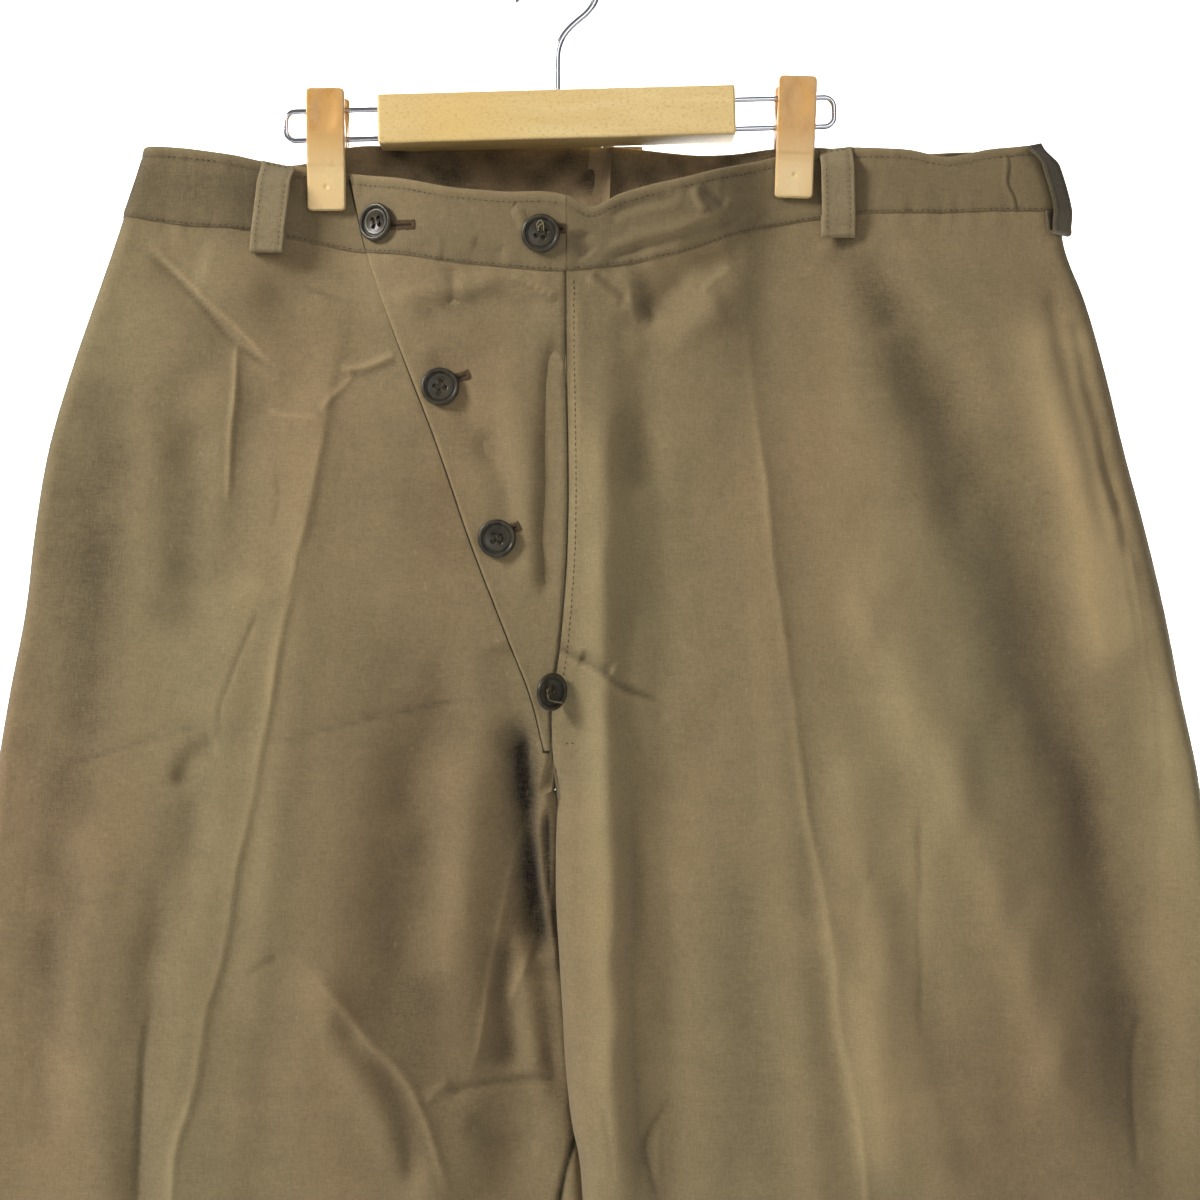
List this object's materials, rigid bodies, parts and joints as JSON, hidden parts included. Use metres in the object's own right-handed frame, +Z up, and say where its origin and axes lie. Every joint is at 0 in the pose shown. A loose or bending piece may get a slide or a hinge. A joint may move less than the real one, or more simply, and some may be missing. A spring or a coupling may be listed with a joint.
{
  "type": "motorcycle trousers on a clip hanger",
  "caption": "Loose cotton motorcycle trousers with a slanted buttoned front, hung flat by the waist from a clip hanger.",
  "frame": {"origin": "the inner top of the hanger's hook, where it rests on its rod", "axes": "+Z up, the garment's front faces -Y, +X to the viewer's right, which is the wearer's left"},
  "size_m": [0.6515, 0.0647, 1.1918],
  "materials": {
    "cloth": "olive khaki cotton, matt",
    "button": "dark brown-grey, glossy",
    "wood": "pale varnished wood",
    "steel": "bright plated wire",
    "clip_plastic": "amber, slightly glossy"
  },
  "bodies": {
    "root": {"front_right": "cloth", "front_left": "cloth", "back_right": "cloth", "back_left": "cloth", "fly_flap": "cloth", "waistband_front_right": "cloth", "waistband_front_left": "cloth", "waistband_flap": "cloth", "waistband_back_right": "cloth", "waistband_back_left": "cloth", "belt_loop_front_right": "cloth", "belt_loop_front_left": "cloth", "belt_loop_side_left": "cloth", "belt_loop_back_left": "cloth", "belt_loop_back_centre": "cloth", "belt_loop_back_right": "cloth", "belt_loop_back_far_right": "cloth", "button_waist_outer": "button", "button_waist_centre": "button", "button_flap_upper": "button", "button_flap_middle": "button", "button_flap_lower": "button", "hanger_bar": "wood", "hanger_hook": "steel", "hanger_wire_left": "steel", "hanger_wire_right": "steel", "clip_left_spring": "steel", "clip_right_spring": "steel", "clip_left_front_arm": "clip_plastic", "clip_left_back_arm": "clip_plastic", "clip_right_front_arm": "clip_plastic", "clip_right_back_arm": "clip_plastic"}
  },
  "joints": []
}
